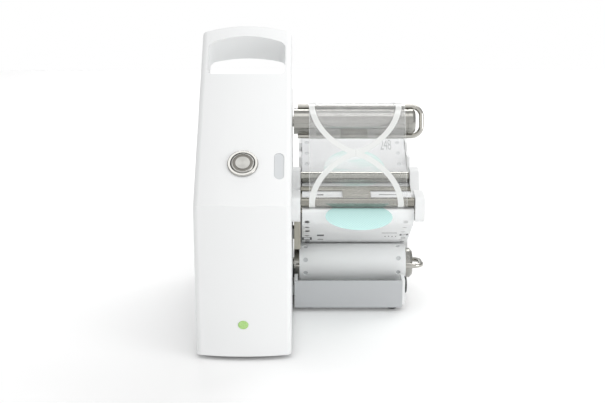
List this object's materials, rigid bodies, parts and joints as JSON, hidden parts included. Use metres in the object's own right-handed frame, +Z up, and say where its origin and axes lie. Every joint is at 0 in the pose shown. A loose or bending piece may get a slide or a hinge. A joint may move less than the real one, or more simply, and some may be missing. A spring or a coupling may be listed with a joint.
{
  "type": "membrane filter dispenser",
  "caption": "Bench dispenser that peels a strip between film and paper and offers one round filter at its front edge, with a sloped housing, a carrying grip and a start button.",
  "frame": {"origin": "middle of the bounding box, on the surface the feet stand on", "axes": "+X to the right from the housing to the open ends of the spools, +Y to the back, +Z up"},
  "size_m": [0.1634, 0.2284, 0.2078],
  "materials": {
    "white_paint": "satin white",
    "white_plastic": "moulded white, fine satin",
    "grey_paint": "satin grey",
    "stainless": "turned and brushed stainless steel",
    "polished_steel": "polished stainless steel",
    "dark_steel": "ground steel",
    "plain_steel": "zinc plated sheet",
    "bronze": "sintered bronze",
    "rubber": "black rubber",
    "grey_rubber": "ground rubber cover",
    "black_plastic": "moulded black",
    "window_plastic": "smoked grey window",
    "lamp_green": "translucent green",
    "board_green": "solder resist",
    "gear_plastic": "acetal",
    "film": "clear film with heat-seal bands",
    "paper": "coated white paper",
    "membrane": "mint green filter membrane with a light grid"
  },
  "bodies": {
    "chassis": {"housing_shell": "white_paint", "floor_plate": "plain_steel", "side_plate": "plain_steel", "shaft_bushes": "bronze", "rear_panel": "white_plastic", "power_socket": "black_plastic", "foot_switch_socket": "black_plastic", "panel_screws": "stainless", "rubber_feet": "rubber", "button_bezel": "polished_steel", "button_switch": "black_plastic", "sensor_window": "window_plastic", "sensor_board": "board_green", "lamp_lens": "lamp_green", "circuit_board": "board_green", "board_pillars": "plain_steel", "motor_bracket": "plain_steel", "gear_motor": "plain_steel", "upper_belt": "rubber", "lower_belt": "rubber", "inner_arm": "white_plastic", "outer_arm": "white_plastic", "carrier_plate": "stainless", "wall_spacers": "plain_steel", "peel_table": "stainless", "hold_down_plate": "stainless", "filter_strip": "paper", "film_web": "film", "paper_web": "paper", "filter_disc": "membrane", "magazine": "white_paint", "strip_stack": "paper", "tray": "white_paint", "tray_front": "grey_paint", "side_cap": "black_plastic"},
    "start_button_body": {"start_button": "stainless"},
    "drive": {"drive_roller": "grey_rubber", "drive_axle": "dark_steel", "drive_gear": "gear_plastic"},
    "motor": {"motor_shaft": "dark_steel", "motor_pinion": "plain_steel"},
    "hold_down": {"hold_down_roller": "dark_steel"},
    "peel": {"peel_rod": "dark_steel"},
    "rear_guide": {"rear_roller": "stainless"},
    "upper_take_up": {"upper_spool": "stainless", "upper_pulley": "gear_plastic", "film_roll": "film"},
    "lower_take_up": {"lower_spool": "stainless", "lower_pulley": "gear_plastic", "paper_roll": "paper"},
    "upper_clip_body": {"upper_clip": "polished_steel"},
    "lower_clip_body": {"lower_clip": "polished_steel"}
  },
  "joints": [
    {"name": "start_press", "type": "slide", "parent": "chassis", "child": "start_button_body", "axis": [0, 0.6428, -0.766], "range_m": [0, 0.0015], "stiffness_N_per_m": 600},
    {"name": "drive_turn", "type": "hinge", "parent": "chassis", "child": "drive", "pos_m": [0.0273, 0.0115, 0.0801], "axis": [1, 0, 0], "continuous": true},
    {"name": "motor_turn", "type": "hinge", "parent": "chassis", "child": "motor", "pos_m": [-0.0327, -0.0126, 0.0801], "axis": [1, 0, 0], "continuous": true},
    {"name": "hold_down_turn", "type": "hinge", "parent": "chassis", "child": "hold_down", "pos_m": [0.0273, 0.0115, 0.093], "axis": [1, 0, 0], "continuous": true},
    {"name": "peel_turn", "type": "hinge", "parent": "chassis", "child": "peel", "pos_m": [0.0273, -0.0366, 0.08791], "axis": [1, 0, 0], "continuous": true},
    {"name": "rear_turn", "type": "hinge", "parent": "chassis", "child": "rear_guide", "pos_m": [0.0273, 0.059, 0.102], "axis": [1, 0, 0], "continuous": true},
    {"name": "upper_spool_turn", "type": "hinge", "parent": "chassis", "child": "upper_take_up", "pos_m": [0.0273, 0.005, 0.1375], "axis": [1, 0, 0], "continuous": true},
    {"name": "lower_spool_turn", "type": "hinge", "parent": "chassis", "child": "lower_take_up", "pos_m": [0.0273, 0.005, 0.027], "axis": [1, 0, 0], "continuous": true},
    {"name": "upper_clip_pull", "type": "slide", "parent": "upper_take_up", "child": "upper_clip_body", "axis": [1, 0, 0], "range_m": [0, 0.095]},
    {"name": "lower_clip_pull", "type": "slide", "parent": "lower_take_up", "child": "lower_clip_body", "axis": [1, 0, 0], "range_m": [0, 0.095]}
  ],
  "couplings": [
    {"joint": "motor_turn", "follows": "drive_turn", "ratio": -2},
    {"joint": "hold_down_turn", "follows": "drive_turn", "ratio": -2},
    {"joint": "peel_turn", "follows": "drive_turn", "ratio": -2.2857},
    {"joint": "rear_turn", "follows": "drive_turn", "ratio": 1},
    {"joint": "upper_spool_turn", "follows": "drive_turn", "ratio": -0.6993},
    {"joint": "lower_spool_turn", "follows": "drive_turn", "ratio": -0.62112}
  ]
}
